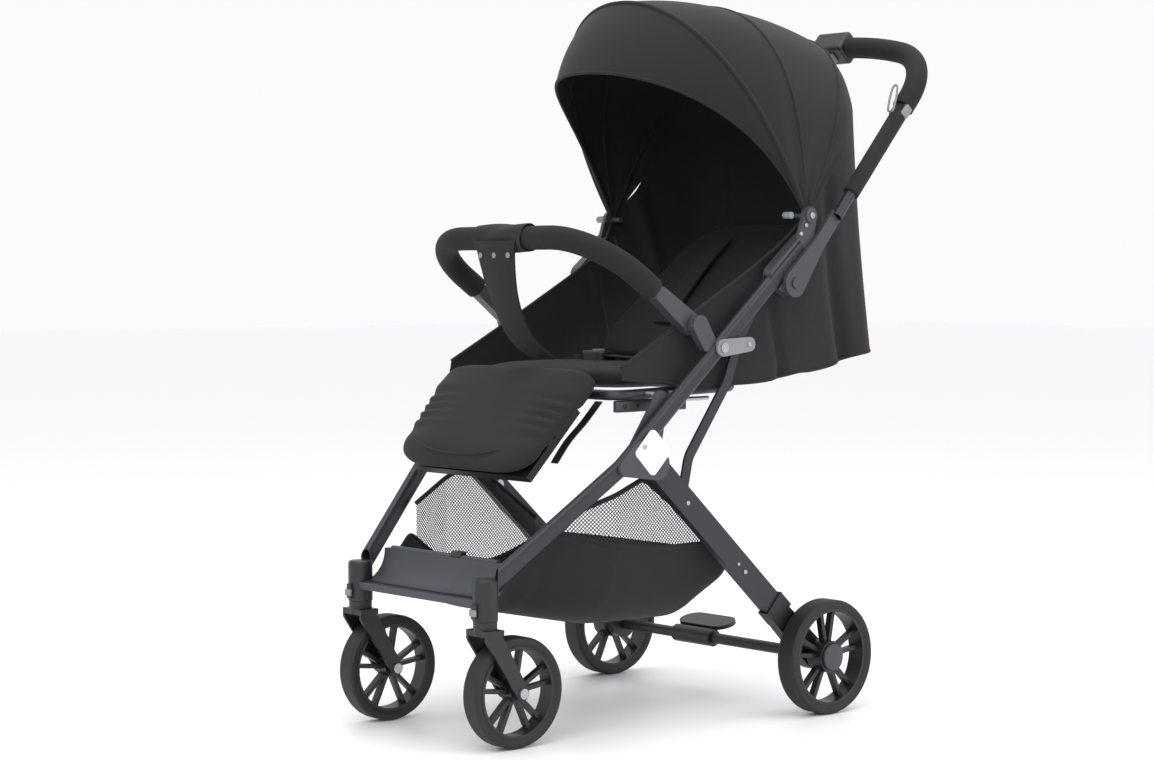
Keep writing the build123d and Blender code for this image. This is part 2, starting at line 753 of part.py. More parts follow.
def backrest():
    """Backrest board with hinge knuckles, and its pad."""
    a = radians(back_angle)
    face = Plane(origin=(0, *seat_rear), x_dir=(1, 0, 0), z_dir=(0, -sin(a), cos(a)))
    with BuildPart() as board:
        with BuildSketch(face.offset(-4)):
            with Locations((0, back_length / 2 + 10)):
                RectangleRounded(2 * back_half_w - 30, back_length - 20, 30)
        extrude(amount=8)
        for x in (-110, 110):
            with BuildSketch(side_plane(x - 25)):
                with Locations(seat_rear, polar(seat_rear, back_angle, 40)):
                    Circle(4)
                with Locations(seat_rear):
                    Circle(knuckle_r)
                make_hull()
            extrude(amount=50)
        with BuildSketch(side_plane(-200)):
            with Locations(seat_rear):
                Circle(rail_r + run)
        extrude(amount=400, mode=Mode.SUBTRACT)
    keep(board, "backrest_board")
    with BuildPart() as pad:
        with BuildSketch(face.offset(4 + soft_gap)):
            with Locations((0, (back_length + back_pad_start) / 2)):
                RectangleRounded(2 * back_half_w, back_length - back_pad_start, 36)
        extrude(amount=back_pad_t)
        fillet(pad.faces().sort_by(Axis(face.origin, face.z_dir))[-1].edges(), radius=9)
    keep(pad, "backrest_pad")


# ---------------------------------------------------------------- canopy
def hoop_plane(angle):
    """Plane through the canopy pin: local x is +X, local y points along the angle."""
    a = radians(angle)
    return Plane(origin=(0, *canopy_pin), x_dir=(1, 0, 0), z_dir=(0, -sin(a), cos(a)))


def hoop(name, angle, reach, x):
    """Bent wire hoop with an eye at each foot."""
    with BuildPart() as wire:
        with BuildLine(hoop_plane(angle)) as route:
            Line((x, eye_r - 2), (x, reach - x))
            ThreePointArc((x, reach - x), (0, reach), (-x, reach - x))
            Line((-x, reach - x), (-x, eye_r - 2))
        with BuildSketch(Plane(origin=route.line @ 0, z_dir=route.line % 0)):
            Circle(hoop_r)
        sweep(path=route.line)
        for side in (1, -1):
            disc(side, canopy_pin, eye_r, x - hoop_r + 0.3, x + hoop_r - 0.3)
            disc(side, canopy_pin, canopy_pin_r + run, x - 9, x + 9, Mode.SUBTRACT)
    keep(wire, name)


def arch(angle, reach, out, low):
    """Cross section of canopy cloth: a thin arch with straight legs, in a plane through the pin."""
    inner = out - cloth
    with BuildSketch(hoop_plane(angle)) as section:
        with BuildLine():
            Line((out, low), (out, reach - out))
            ThreePointArc((out, reach - out), (0, reach), (-out, reach - out))
            Line((-out, reach - out), (-out, low))
            Line((-out, low), (-inner, low))
            Line((-inner, low), (-inner, reach - out))
            ThreePointArc((-inner, reach - out), (0, reach - cloth), (inner, reach - out))
            Line((inner, reach - out), (inner, low))
            Line((inner, low), (out, low))
        make_face()
    return section.sketch


def canopy_cloth(name, rear, front, x, low):
    """Cloth stretched between two arches, each given as (angle, reach)."""
    out = x + hoop_r + 0.3 + cloth
    with BuildPart() as sheet:
        loft([arch(*rear, out, low), arch(*front, out, low)], ruled=True)
    keep(sheet, name)


def canopy():
    """Hoops and cloth panels of the canopy, from the fixed rear hoop to the brim."""
    hoop("canopy_rear_hoop", rear_hoop_angle, rear_hoop_reach, hoop_x)
    hoop("canopy_mid_hoop", mid_hoop_angle, mid_hoop_reach, hoop_x - hoop_pitch)
    hoop("canopy_front_hoop", front_hoop_angle, front_hoop_reach, hoop_x - 2 * hoop_pitch)
    side = cloth_margin
    canopy_cloth("canopy_rear_cloth", (rear_edge_angle, rear_edge_reach),
                 (rear_hoop_angle - side, rear_hoop_reach), hoop_x, 30)
    canopy_cloth("canopy_mid_cloth", (rear_hoop_angle + side, rear_hoop_reach),
                 (mid_hoop_angle - side, mid_hoop_reach), hoop_x, 30)
    canopy_cloth("canopy_front_cloth", (mid_hoop_angle + side, mid_hoop_reach),
                 (front_hoop_angle - side, front_hoop_reach), hoop_x - hoop_pitch, 30)
    canopy_cloth("canopy_visor", (front_hoop_angle + side, front_hoop_reach),
                 (brim_angle, brim_reach), hoop_x - 2 * hoop_pitch, 92)


# ---------------------------------------------------------------- front casters and wheels
def caster_fork(name, side):
    """Stem, crown and two arms down to the front axle."""
    inner = front_tyre_w / 2 + fork_gap
    crown_low = front_wheel_d + 5
    with BuildPart() as fork:
        with BuildSketch(Plane.XY.offset(crown_low)):
            with Locations((side * caster_x, caster_y)):
                Rectangle(2 * (inner + fork_arm), 2 * housing_r - 4)
        extrude(amount=8)
        with BuildSketch(Plane.XY.offset(crown_low)):
            with Locations((side * caster_x, caster_y)):
                Circle(housing_r - 1)
        extrude(amount=housing_low - side_gap - crown_low)
        with BuildSketch(Plane.XY.offset(crown_low)):
            with Locations((side * caster_x, caster_y)):
                Circle(stem_r)
        extrude(amount=housing_high - 8 - crown_low)
        for x in (caster_x - inner - fork_arm, caster_x + inner):
            strap_plate(side, [((caster_y - 5, crown_low - 2), 10), ((caster_y + 8, crown_low - 6), 7),
                               (front_axle, 10)], x, x + fork_arm)
            disc(side, front_axle, front_axle_r, x - 1, x + fork_arm + 1, Mode.SUBTRACT)
    keep(fork, name)


def front_axle_bolt(name, side):
    """Axle bolt with a head on each side of the fork."""
    half = front_tyre_w / 2 + fork_gap + fork_arm
    with BuildPart() as bolt:
        disc(side, front_axle, front_axle_r, caster_x - half, caster_x + half)
        disc(side, front_axle, 7, caster_x + half, caster_x + half + 3)
        disc(side, front_axle, 7, caster_x - half - 3, caster_x - half)
    keep(bolt, name)


def tyre(name, x, axle, diameter, width):
    """Ring of foam rubber with rounded shoulders and a shallow step on each side wall."""
    outer = diameter / 2
    inner = outer - tyre_depth
    half = width / 2
    with BuildPart() as ring:
        with BuildSketch(Plane(origin=(x, *axle), x_dir=(1, 0, 0), z_dir=(0, 0, 1))):
            with BuildLine():
                FilletPolyline((-half + 3, inner), (half - 3, inner), (half, inner + 5),
                               (half, outer - 2), (half - 4, outer), (-half + 4, outer),
                               (-half, outer - 2), (-half, inner + 5), close=True, radius=1.2)
            make_face()
        revolve(axis=Axis((x, *axle), (1, 0, 0)))
    keep(ring, name)


def rim(name, side, x, axle, tyre_in, width, hub_r, bore, notches):
    """Rim band, hub and pairs of straight spokes."""
    half = width / 2 - 3
    with BuildPart() as wheel:
        for low, high, r_out, r_in in ((x - half, x + half, tyre_in, tyre_in - rim_band),
                                       (x - half, x + half, hub_r, bore)):
            with BuildSketch(side_plane(low)):
                with Locations(axle):
                    Circle(r_out)
                    Circle(r_in, mode=Mode.SUBTRACT)
            extrude(amount=high - low)
        spoke_low = x - 5
        with BuildSketch(side_plane(spoke_low)):
            with Locations(axle):
                for lean in (-spoke_spread, spoke_spread):
                    with PolarLocations((hub_r + tyre_in - rim_band) / 2, spoke_pairs,
                                        start_angle=90 + lean):
                        Rectangle(tyre_in - rim_band - hub_r + 4, spoke_w)
        extrude(amount=10)
        if notches:
            wall = side * (abs(x) - half)
            with BuildSketch(side_plane(wall)):
                with Locations(axle):
                    with PolarLocations(brake_pin_reach, notch_count, start_angle=90):
                        Circle(brake_pin_r + 0.8)
            extrude(amount=side * notch_depth, mode=Mode.SUBTRACT)
            disc(side, axle, rear_axle_pin_r + 4, abs(x) + half - 7, abs(x) + half + 1, Mode.SUBTRACT)
    keep(wheel, name)


def wheels():
    """The four wheels, each a tyre on a rim."""
    for word, side in SIDES:
        x = side * caster_x
        tyre(f"{word}_front_tyre", x, front_axle, front_wheel_d, front_tyre_w)
        rim(f"{word}_front_rim", side, x, front_axle, front_wheel_d / 2 - tyre_depth, front_tyre_w,
            front_hub_r, front_axle_r + run, False)
        x = side * rear_wheel_x
        tyre(f"{word}_rear_tyre", x, rear_axle, rear_wheel_d, rear_tyre_w)
        rim(f"{word}_rear_rim", side, x, rear_axle, rear_wheel_d / 2 - tyre_depth, rear_tyre_w,
            rear_hub_r, rear_axle_pin_r + run, True)


# ---------------------------------------------------------------- brake
def brake():
    """Foot pedal on the axle tube and a locking pin in each foot."""
    with BuildPart() as pedal:
        with BuildSketch(side_plane(pedal_x - pedal_half_w)):
            with Locations(rear_axle):
                Circle(rear_axle_tube_r + 5)
        extrude(amount=2 * pedal_half_w)
        paddle = Plane(origin=(pedal_x, rear_axle[0], rear_axle[1] + 9), z_dir=(0, -0.26, 1),
                       x_dir=(1, 0, 0))
        with BuildSketch(paddle):
            with Locations((0, 27)):
                SlotOverall(2 * pedal_half_w + 24, 42)
        extrude(amount=6)
        with BuildSketch(side_plane(pedal_x - 100)):
            with Locations(rear_axle):
                Circle(rear_axle_tube_r + run)
        extrude(amount=200, mode=Mode.SUBTRACT)
    keep(pedal, "brake_pedal")
    arm_in = rear_wheel_x - rear_tyre_w / 2 - foot_gap - foot_t
    for word, side in SIDES:
        with BuildPart() as pin:
            disc(side, brake_at, brake_pin_r, arm_in - 4, arm_in + foot_t)
        keep(pin, f"{word}_brake_pin")


def main():
    """Build every piece."""
    os.makedirs("parts", exist_ok=True)
    for word, side in SIDES:
        main_tube(f"{word}_main_tube", side)
        caster_housing(f"{word}_caster_housing", side)
        rear_leg(f"{word}_rear_leg", side)
        axle_foot(f"{word}_axle_foot", side)
        caster_fork(f"{word}_caster_fork", side)
        front_axle_bolt(f"{word}_front_axle", side)
        bumper_button(f"{word}_bumper_button", side)
    footrest_step()
    hub_brackets()
    hub_badges()
    frame_pins()
    top_joints()
    seat_frame_tube()
    bumper_sockets()
    basket()
    seat_pad()
    seat_enclosure()
    buckle()
    rear_axle_tube()
    struts()
    strut_pins()
    link_clips()
    handle_tube()
    handle_grip()
    release_housing()
    handle_discs()
    bumper_bar()
    calf_rest()
    backrest()
    canopy()
    wheels()
    brake()


main()
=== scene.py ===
import json
import logging
import math
from collections.abc import Callable, Sequence
from dataclasses import dataclass, field
from enum import Enum

import bpy
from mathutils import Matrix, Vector


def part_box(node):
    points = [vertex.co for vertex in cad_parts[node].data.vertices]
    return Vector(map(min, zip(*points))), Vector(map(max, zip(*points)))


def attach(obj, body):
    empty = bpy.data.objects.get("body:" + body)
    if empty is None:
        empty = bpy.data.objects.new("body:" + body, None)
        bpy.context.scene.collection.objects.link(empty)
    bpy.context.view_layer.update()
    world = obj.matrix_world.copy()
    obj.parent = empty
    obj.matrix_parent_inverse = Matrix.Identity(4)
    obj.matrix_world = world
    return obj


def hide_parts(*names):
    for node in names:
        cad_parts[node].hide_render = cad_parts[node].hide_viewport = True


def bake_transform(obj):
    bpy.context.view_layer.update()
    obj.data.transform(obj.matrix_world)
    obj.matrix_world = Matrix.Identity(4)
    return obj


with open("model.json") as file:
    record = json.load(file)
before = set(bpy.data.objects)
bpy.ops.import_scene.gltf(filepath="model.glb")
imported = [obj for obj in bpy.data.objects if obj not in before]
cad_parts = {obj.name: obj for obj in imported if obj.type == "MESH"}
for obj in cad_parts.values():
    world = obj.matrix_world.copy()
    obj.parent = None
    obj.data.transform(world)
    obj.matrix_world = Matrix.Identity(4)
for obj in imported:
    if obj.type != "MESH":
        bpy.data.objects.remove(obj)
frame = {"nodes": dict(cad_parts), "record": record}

logging.basicConfig(level=logging.INFO, format="%(message)s")
log = logging.getLogger("stroller")

Form = Callable[[float, float], Vector]
SIDES = (("left", 1), ("right", -1))
MM = 0.001
FABRIC = "fabric_black"
CLOTH = 1.6 * MM
ACROSS = Vector((1, 0, 0))
CANOPY_PIN = (0.1283, 0.7089)  # (y, z) of the pins that the hood turns on
HANDLE_HINGE = (0.0921, 0.6133)  # (y, z) of the handle's hinge
HANDLE_SLOPE = 49  # degrees from +Y towards +Z
HANDLE_X = 0.222


class Pattern(Enum):
    """How the fine surface of a finish looks."""

    PLAIN = "plain"
    GRAIN = "grain"
    WEAVE = "weave"
    NET = "net"


TONE_SCALE = 14.0  # patches of lighter and darker tone in one metre
TONE_DARK, TONE_LIGHT = 0.82, 1.18  # shares of the base colour
THREAD_SHARE = 0.36  # how much of a net's mesh its thread takes


@dataclass(frozen=True)
class Finish:
    """One material of the stroller.

    Args:
        color: base colour, linear RGB.
        roughness: roughness of the surface.
        metallic: share of bare metal.
        sheen: soft light at grazing angles, for cloth.
        pattern: the fine surface.
        bump: strength of the fine surface.
        scale: number of grains or threads in one metre.
    """

    color: tuple[float, float, float]
    roughness: float = 0.5
    metallic: float = 0.0
    sheen: float = 0.0
    pattern: Pattern = Pattern.PLAIN
    bump: float = 0.1
    scale: float = 400.0

    def material(self, name: str) -> bpy.types.Material:
        """Build the node material of this finish."""
        made = bpy.data.materials.new(name)
        made.use_nodes = True
        nodes, links = made.node_tree.nodes, made.node_tree.links
        shader = nodes["Principled BSDF"]
        shader.inputs["Roughness"].default_value = self.roughness
        shader.inputs["Metallic"].default_value = self.metallic
        shader.inputs["Sheen Weight"].default_value = self.sheen
        shader.inputs["Sheen Roughness"].default_value = 0.5
        place = nodes.new("ShaderNodeTexCoord").outputs["Object"]
        cloudy = nodes.new("ShaderNodeTexNoise")
        cloudy.inputs["Scale"].default_value = TONE_SCALE
        links.new(place, cloudy.inputs["Vector"])
        tone = nodes.new("ShaderNodeValToRGB")
        tone.color_ramp.elements[0].color = (*(TONE_DARK * c for c in self.color), 1)
        tone.color_ramp.elements[1].color = (*(min(1.0, TONE_LIGHT * c) for c in self.color), 1)
        links.new(cloudy.outputs["Fac"], tone.inputs["Fac"])
        links.new(tone.outputs["Color"], shader.inputs["Base Color"])
        if self.pattern in (Pattern.GRAIN, Pattern.WEAVE):
            fine = nodes.new("ShaderNodeTexNoise")
            fine.inputs["Scale"].default_value = self.scale
            fine.inputs["Detail"].default_value = 4.0 if self.pattern is Pattern.GRAIN else 1.0
            links.new(place, fine.inputs["Vector"])
            relief = nodes.new("ShaderNodeBump")
            relief.inputs["Strength"].default_value = self.bump
            relief.inputs["Distance"].default_value = MM
            links.new(fine.outputs["Fac"], relief.inputs["Height"])
            links.new(relief.outputs["Normal"], shader.inputs["Normal"])
        if self.pattern is Pattern.NET:
            self.cut_holes(nodes, links, place, shader)
        return made

    def cut_holes(self, nodes: bpy.types.Nodes, links: bpy.types.NodeLinks, place: bpy.types.NodeSocket,
                  shader: bpy.types.Node) -> None:
        """Cut diamond holes through the cloth, with threads left between them.

        Args:
            nodes: nodes of the material.
            links: links of the material.
            place: socket that gives the place on the object.
            shader: shader whose alpha is cut.
        """
        split = nodes.new("ShaderNodeSeparateXYZ")
        links.new(place, split.inputs["Vector"])
        waves = []
        for operation in ("ADD", "SUBTRACT"):
            slant = self.step(nodes, links, operation, split.outputs["Y"], split.outputs["Z"])
            turn = self.step(nodes, links, "MULTIPLY", slant, math.pi * self.scale)
            waves.append(self.step(nodes, links, "ABSOLUTE", self.step(nodes, links, "SINE", turn)))
        nearest = self.step(nodes, links, "MINIMUM", *waves)
        thread = self.step(nodes, links, "LESS_THAN", nearest, THREAD_SHARE)
        links.new(thread, shader.inputs["Alpha"])

    @staticmethod
    def step(nodes: bpy.types.Nodes, links: bpy.types.NodeLinks, operation: str,
             *values: float | bpy.types.NodeSocket) -> bpy.types.NodeSocket:
        """Add one maths node and return its output.

        Args:
            nodes: nodes of the material.
            links: links of the material.
            operation: name of the maths operation.
            values: its inputs, numbers or sockets.

        Returns:
            The socket with the result.
        """
        node = nodes.new("ShaderNodeMath")
        node.operation = operation
        for socket, value in zip(node.inputs, values):
            if isinstance(value, float):
                socket.default_value = value
            else:
                links.new(value, socket)
        return node.outputs[0]


FINISHES: dict[str, Finish] = {
    "frame_paint": Finish((0.03, 0.031, 0.036), 0.4, 0.4, pattern=Pattern.GRAIN, bump=0.05),
    "grey_plastic": Finish((0.04, 0.042, 0.047), 0.46, pattern=Pattern.GRAIN, bump=0.08),
    "black_plastic": Finish((0.008, 0.008, 0.009), 0.42, pattern=Pattern.GRAIN, bump=0.08),
    "badge_white": Finish((0.86, 0.86, 0.87), 0.25),
    "steel": Finish((0.42, 0.42, 0.44), 0.32, 0.9),
    "button_grey": Finish((0.2, 0.2, 0.21), 0.45),
    "foam_black": Finish((0.006, 0.006, 0.0068), 0.9, pattern=Pattern.GRAIN, bump=0.45, scale=700.0),
    "tyre_black": Finish((0.006, 0.006, 0.0066), 0.6, pattern=Pattern.GRAIN, bump=0.15),
    FABRIC: Finish((0.0048, 0.0044, 0.0056), 0.85, sheen=0.035, pattern=Pattern.WEAVE,
                           bump=0.3, scale=900.0),
    "mesh_grey": Finish((0.02, 0.02, 0.022), 0.8, pattern=Pattern.NET, scale=190.0),
    "step_grey": Finish((0.035, 0.038, 0.048), 0.45, pattern=Pattern.GRAIN, bump=0.08),
    "clip_grey": Finish((0.2, 0.21, 0.22), 0.4),
}


@dataclass
class Workshop:
    """Makes meshes in place, finishes them and says which body they move with.

    Args:
        made: the materials built so far, by the name of their finish.
    """

    made: dict[str, bpy.types.Material] = field(default_factory=dict)

    def paint(self, piece: bpy.types.Object, finish: str) -> None:
        """Give a piece one of the finishes."""
        if finish not in self.made:
            self.made[finish] = FINISHES[finish].material(finish)
        piece.data.materials.clear()
        piece.data.materials.append(self.made[finish])

    def fresh(self) -> None:
        """Leave object mode clean, with nothing selected."""
        if bpy.context.object and bpy.context.object.mode != "OBJECT":
            bpy.ops.object.mode_set(mode="OBJECT")
        bpy.ops.object.select_all(action="DESELECT")

    def complete(self, name: str, finish: str, body: str | None, smooth: float = 40.0) -> bpy.types.Object:
        """Name the active piece, apply its place, shade, paint and ride it.

        Args:
            name: name of the piece.
            finish: key of its finish.
            body: CAD body it moves with, or None where it bends between bodies.
            smooth: edges flatter than this many degrees are shaded smooth.

        Returns:
            The finished piece.
        """
        piece = bpy.context.object
        bpy.ops.object.transform_apply(location=True, rotation=True, scale=True)
        bpy.ops.object.shade_smooth_by_angle(angle=math.radians(smooth))
        piece.name = piece.data.name = name
        self.paint(piece, finish)
        if body:
            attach(piece, body)
        log.info("made %s: %d faces, %s", name, len(piece.data.polygons), finish)
        return piece

    def modify(self, kind: str, **settings) -> None:
        """Add a modifier to the active piece and apply it."""
        modifier = bpy.context.object.modifiers.new(kind.lower(), kind)
        for key, value in settings.items():
            setattr(modifier, key, value)
        bpy.ops.object.modifier_apply(modifier=modifier.name)

    def block(self, name: str, at: Sequence[float], size: Sequence[float], finish: str, body: str,
              bevel: float = 2 * MM, tilt: float = 0.0) -> bpy.types.Object:
        """Box with rounded edges, tilted about X by some degrees."""
        self.fresh()
        bpy.ops.mesh.primitive_cube_add(size=1, location=at, rotation=(math.radians(tilt), 0, 0))
        bpy.context.object.scale = size
        bpy.ops.object.transform_apply(location=False, rotation=False, scale=True)
        self.modify("BEVEL", width=bevel, segments=3)
        return self.complete(name, finish, body)

    def stud(self, name: str, at: Sequence[float], radius: float, height: float, finish: str,
             body: str, turn: tuple[float, float, float] = (0, math.pi / 2, 0)) -> bpy.types.Object:
        """Short round piece, along X unless turned."""
        self.fresh()
        bpy.ops.mesh.primitive_cylinder_add(vertices=32, radius=radius, depth=height, location=at,
                                            rotation=turn)
        self.modify("BEVEL", width=min(radius, height) * 0.35, segments=3)
        return self.complete(name, finish, body)

    def formed(self, name: str, columns: int, rows: int, form: Form, thick: float, finish: str,
               body: str | None) -> tuple[bpy.types.Object, tuple[float, float], float]:
        """Sheet laid to a form, with a thickness.

        Args:
            name: name of the piece.
            columns: number of cells across.
            rows: number of cells along.
            form: gives the place of (across, along), both from 0 to 1.
            thick: thickness of the cloth.
            finish: key of its finish.
            body: CAD body it moves with, or None.

        Returns:
            The piece, the flat width and length that its cloth was cut to, and its flat area.
        """
        self.fresh()
        bpy.ops.mesh.primitive_grid_add(x_subdivisions=columns, y_subdivisions=rows, size=1)
        weld, lines_across, lines_along = 0.2 * MM, 8, 16
        mesh = bpy.context.object.data
        for vertex in mesh.vertices:
            vertex.co = form(vertex.co.x + 0.5, vertex.co.y + 0.5)
        bpy.ops.object.mode_set(mode="EDIT")
        bpy.ops.mesh.select_all(action="SELECT")
        bpy.ops.mesh.remove_doubles(threshold=weld)
        bpy.ops.object.mode_set(mode="OBJECT")
        mesh.update()
        area = sum(face.area for face in mesh.polygons)
        width = max(self.reach(lambda t: form(t, v / lines_across)) for v in range(lines_across + 1))
        length = max(self.reach(lambda t: form(u / lines_along, t)) for u in range(lines_along + 1))
        self.modify("SOLIDIFY", thickness=thick, offset=0)
        piece = self.complete(name, finish, body, smooth=60)
        return piece, (width, length), min(area, width * length)

    @staticmethod
    def reach(line: Callable[[float], Vector]) -> float:
        """Length of a line given by a function of 0 to 1."""
        steps = 60
        points = [line(i / steps) for i in range(steps + 1)]
        return sum((b - a).length for a, b in zip(points, points[1:]))

    def cord(self, name: str, points: Sequence[Sequence[float]], radius: float, finish: str,
             body: str, closed: bool = False) -> bpy.types.Object:
        """Round piping, binding or wire along points, as a mesh."""
        self.fresh()
        curve = bpy.data.curves.new(name, "CURVE")
        curve.dimensions = "3D"
        curve.bevel_depth = radius
        curve.bevel_resolution = 3
        curve.use_fill_caps = True
        spline = curve.splines.new("NURBS")
        spline.points.add(len(points) - 1)
        for point, place in zip(spline.points, points):
            point.co = (*place, 1)
        spline.order_u = 3
        spline.use_endpoint_u = not closed
        spline.use_cyclic_u = closed
        curve.resolution_u = 6
        piece = bpy.data.objects.new(name, curve)
        bpy.context.collection.objects.link(piece)
        bpy.context.view_layer.objects.active = piece
        piece.select_set(True)
        bpy.ops.object.convert(target="MESH")
        return self.complete(name, finish, body, smooth=60)

    def webbing(self, name: str, points: Sequence[Sequence[float]], width: float, across: Vector,
                body: str, thick: float = CLOTH) -> bpy.types.Object:
        """Flat fabric strap along points, its width in one direction."""
        def form(u: float, v: float) -> Vector:
            return along(points, v) + across * (u - 0.5) * width

        return self.formed(name, 3, 36, form, thick, FABRIC, body)[0]

    def pad(self, name: str, origin: Sequence[float], slope: float, half: tuple[float, float],
            rear_half: float, thick: float, span: tuple[float, float], offset: float, body: str,
            wrinkle: float) -> bpy.types.Object:
        """Crowned cushion with sides that pull in between its corners.

        Args:
            name: name of the piece.
            origin: point that the span and the offset are measured from.
            slope: direction of its length in degrees from +Y towards +Z.
            half: half width at the span's end and plan exponent of its corners.
            rear_half: half width at the span's start.
            thick: half thickness at the crown.
            span: start and end along its length.
            offset: distance of its middle above the origin's plane.
            body: CAD body it moves with.
            wrinkle: depth of the gathers at both sides.

        Returns:
            The cushion.
        """
        edge_roundness, pull_in, crown_rise, cuts = 3.2, 0.035, 0.12, 47
        self.fresh()
        bpy.ops.mesh.primitive_cube_add(size=2)
        bpy.ops.object.mode_set(mode="EDIT")
        bpy.ops.mesh.select_all(action="SELECT")
        bpy.ops.mesh.subdivide(number_cuts=cuts)
        bpy.ops.object.mode_set(mode="OBJECT")
        a = math.radians(slope)
        run, up = Vector((0, math.cos(a), math.sin(a))), Vector((0, -math.sin(a), math.cos(a)))
        middle, half_span = sum(span) / 2, (span[1] - span[0]) / 2
        far_half, corner = half
        for vertex in bpy.context.object.data.vertices:
            x, y, z = vertex.co
            plan = (abs(x) ** corner + abs(y) ** corner) ** (1 / corner)
            full = (plan ** edge_roundness + abs(z) ** edge_roundness) ** (1 / edge_roundness)
            x, y, z = x / full, y / full, z / full
            share = (y + 1) / 2
            wide = rear_half + (far_half - rear_half) * share
            pull = 1 - pull_in * (1 - y * y) * abs(x)
            wave = math.sin(y * 26 + 3 * math.sin(5 * y))
            gather = wrinkle * wave * min(1.0, abs(x)) ** 3 * (1 - y * y)
            crown = 1 + crown_rise * (1 - x * x) * (1 - y * y)
            height = offset + z * thick * crown + gather * z
            vertex.co = (Vector(origin) + Vector((x * wide * pull, 0, 0))
                         + run * (middle + y * half_span) + up * height)
        piece = self.complete(name, FABRIC, body, smooth=80)
        return piece


def along(points: Sequence[Sequence[float]], t: float) -> Vector:
    """Point on a smooth line through points, t from 0 to 1."""
    last = len(points) - 1
    i = min(int(t * last), last - 1)
    s = t * last - i
    p0, p1, p2, p3 = (Vector(points[max(0, min(last, i + k))]) for k in (-1, 0, 1, 2))
    return 0.5 * (2 * p1 + (p2 - p0) * s + (2 * p0 - 5 * p1 + 4 * p2 - p3) * s * s
                  + (3 * p1 - p0 - 3 * p2 + p3) * s ** 3)


def lean(at: Sequence[float], angle: float, reach: float) -> tuple[float, float]:
    """Point (y, z) at an angle in degrees from +Y towards +Z."""
    turn = math.radians(angle)
    return (at[0] + reach * math.cos(turn), at[1] + reach * math.sin(turn))


@dataclass(frozen=True)
class Arch:
    """One bent edge of the canopy, fanned about the canopy pins.

    Args:
        angle: angle of its plane at the pins, in degrees from +Y.
        sweep: extra angle at its top.
        reach: distance of its top from the pins.
        wide: half width at its shoulders.
        corner: 2 for an ellipse, more for squarer shoulders.
        foot: half width at the pins.
        pin: (y, z) of the pins.
    """

    angle: float
    sweep: float
    reach: float
    wide: float
    corner: float
    foot: float = 0.206
    pin: tuple[float, float] = CANOPY_PIN

    def point(self, u: float) -> Vector:
        """Point at u, from 0 at the left pin over the top to 1 at the right pin."""
        turn = math.pi * min(1.0, max(0.0, u))
        high = abs(math.sin(turn)) ** (2 / self.corner)
        side = math.copysign(abs(math.cos(turn)) ** (2 / self.corner), math.cos(turn))
        x = side * (self.foot + (self.wide - self.foot) * high)
        y, z = lean(self.pin, self.angle + self.sweep * high ** 1.16, self.reach * high)
        return Vector((x, y, z))

    def points(self, count: int = 40) -> list[Vector]:
        """Points along the whole arch."""
        return [self.point(i / count) for i in range(count + 1)]


@dataclass
class Canopy:
    """Hood of four cloth panels over three hoops and a piped brim.

    Args:
        shop: makes the pieces.
        rear_edge: lower rear edge, where the seat walls start.
        rear: the rear hoop.
        mid: the middle hoop.
        front: the front hoop.
        brim: edge of the visor.
        cloth: thickness of the cloth.
        bulge: how far a panel stands out between its arches.
        crease: depth of the creases near the pins.
    """

    shop: Workshop
    rear_edge: Arch = Arch(47.0, 0.0, 0.287, 0.209, 2.45)
    rear: Arch = Arch(62.6, 0.0, 0.3059, 0.216, 2.55)
    mid: Arch = Arch(97.9, 0.0, 0.3079, 0.230, 2.63)
    front: Arch = Arch(119.7, 0.0, 0.3497, 0.232, 2.1)
    brim: Arch = Arch(119.7, 21.1, 0.3176, 0.1805, 2.22)
    cloth: float = CLOTH
    bulge: float = 0.006
    crease: float = 0.0022

    def panel(self, name: str, a: Arch, b: Arch, stands_for: str, body: str | None) -> bpy.types.Object:
        """Cloth stretched from arch a to arch b, a little fuller between them."""
        def form(u: float, v: float) -> Vector:
            p, q = a.point(u), b.point(u)
            mid = p.lerp(q, v)
            out = Vector((mid.x * 0.6, mid.y - a.pin[0], mid.z - a.pin[1]))
            high = math.sin(math.pi * u)
            fold = self.crease * math.sin(38 * u + 5 * v) * (1 - high) * math.sin(math.pi * v)
            if out.length > 1e-4:
                mid += out.normalized() * (self.bulge * high * 4 * v * (1 - v) + fold)
            return mid

        piece, flat, area = self.shop.formed(name, 120, 20, form, self.cloth, FABRIC, body)
        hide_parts(stands_for)
        return piece

    def build(self) -> None:
        """Make the panels, the hoop sleeves and the brim."""
        self.panel("canopy_rear_panel", self.rear_edge, self.rear, "canopy_rear_cloth", "frame")
        middle = self.panel("canopy_mid_panel", self.rear, self.mid, "canopy_mid_cloth", None)
        self.rear.point(0.5)
        self.mid.point(0.5)
        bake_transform(middle)
        front = self.panel("canopy_front_panel", self.mid, self.front, "canopy_front_cloth", None)
        self.mid.point(0.5)
        self.front.point(0.5)
        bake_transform(front)
        visor = self.panel("canopy_brim_panel", self.front, self.brim, "canopy_visor", None)
        self.front.point(0.5)
        self.brim.point(0.5)
        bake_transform(visor)
        for name, arch, body, radius, hoop in (
                ("rear_hoop_sleeve", self.rear, "frame", 3.2, "canopy_rear_hoop"),
                ("mid_hoop_sleeve", self.mid, "canopy_mid", 3.2, "canopy_mid_hoop"),
                ("front_hoop_sleeve", self.front, "canopy_front", 3.8, "canopy_front_hoop"),
                ("brim_piping", self.brim, "canopy_visor", 2.4, None)):
            sleeve = self.shop.cord(name, arch.points(), radius * MM, FABRIC, body)
            if hoop:
                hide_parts(hoop)


